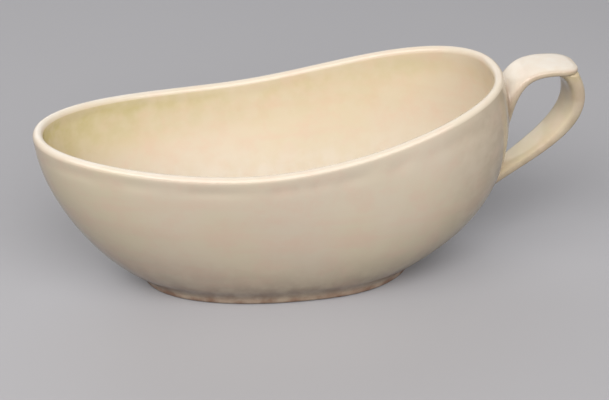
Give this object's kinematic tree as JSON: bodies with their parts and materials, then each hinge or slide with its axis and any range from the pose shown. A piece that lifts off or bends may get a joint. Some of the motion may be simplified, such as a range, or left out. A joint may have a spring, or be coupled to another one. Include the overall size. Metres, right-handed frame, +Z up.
{
  "type": "bourdaloue",
  "caption": "Boat-shaped glazed earthenware vessel on a low oval foot, with a rounded lip that sweeps up to the back and a strap loop handle with a thumb rest",
  "frame": {"origin": "under the middle of the overall length and width, on the surface that the foot stands on", "axes": "+X from the front end to the handle, +Y across the vessel, +Z up"},
  "size_m": [0.2588, 0.099, 0.1003],
  "materials": {
    "cream_glaze": "clear glossy lead glaze over a cream body",
    "pooled_glaze": "the same glaze where it pools, a little greener and deeper"
  },
  "bodies": {
    "root": {"bowl": "cream_glaze", "foot_ring": "cream_glaze", "upper_strap": "cream_glaze", "lower_strap": "cream_glaze", "upper_root_slip": "pooled_glaze", "lower_root_slip": "pooled_glaze", "thumb_rest_slip": "pooled_glaze", "foot_slip": "pooled_glaze"}
  },
  "joints": []
}
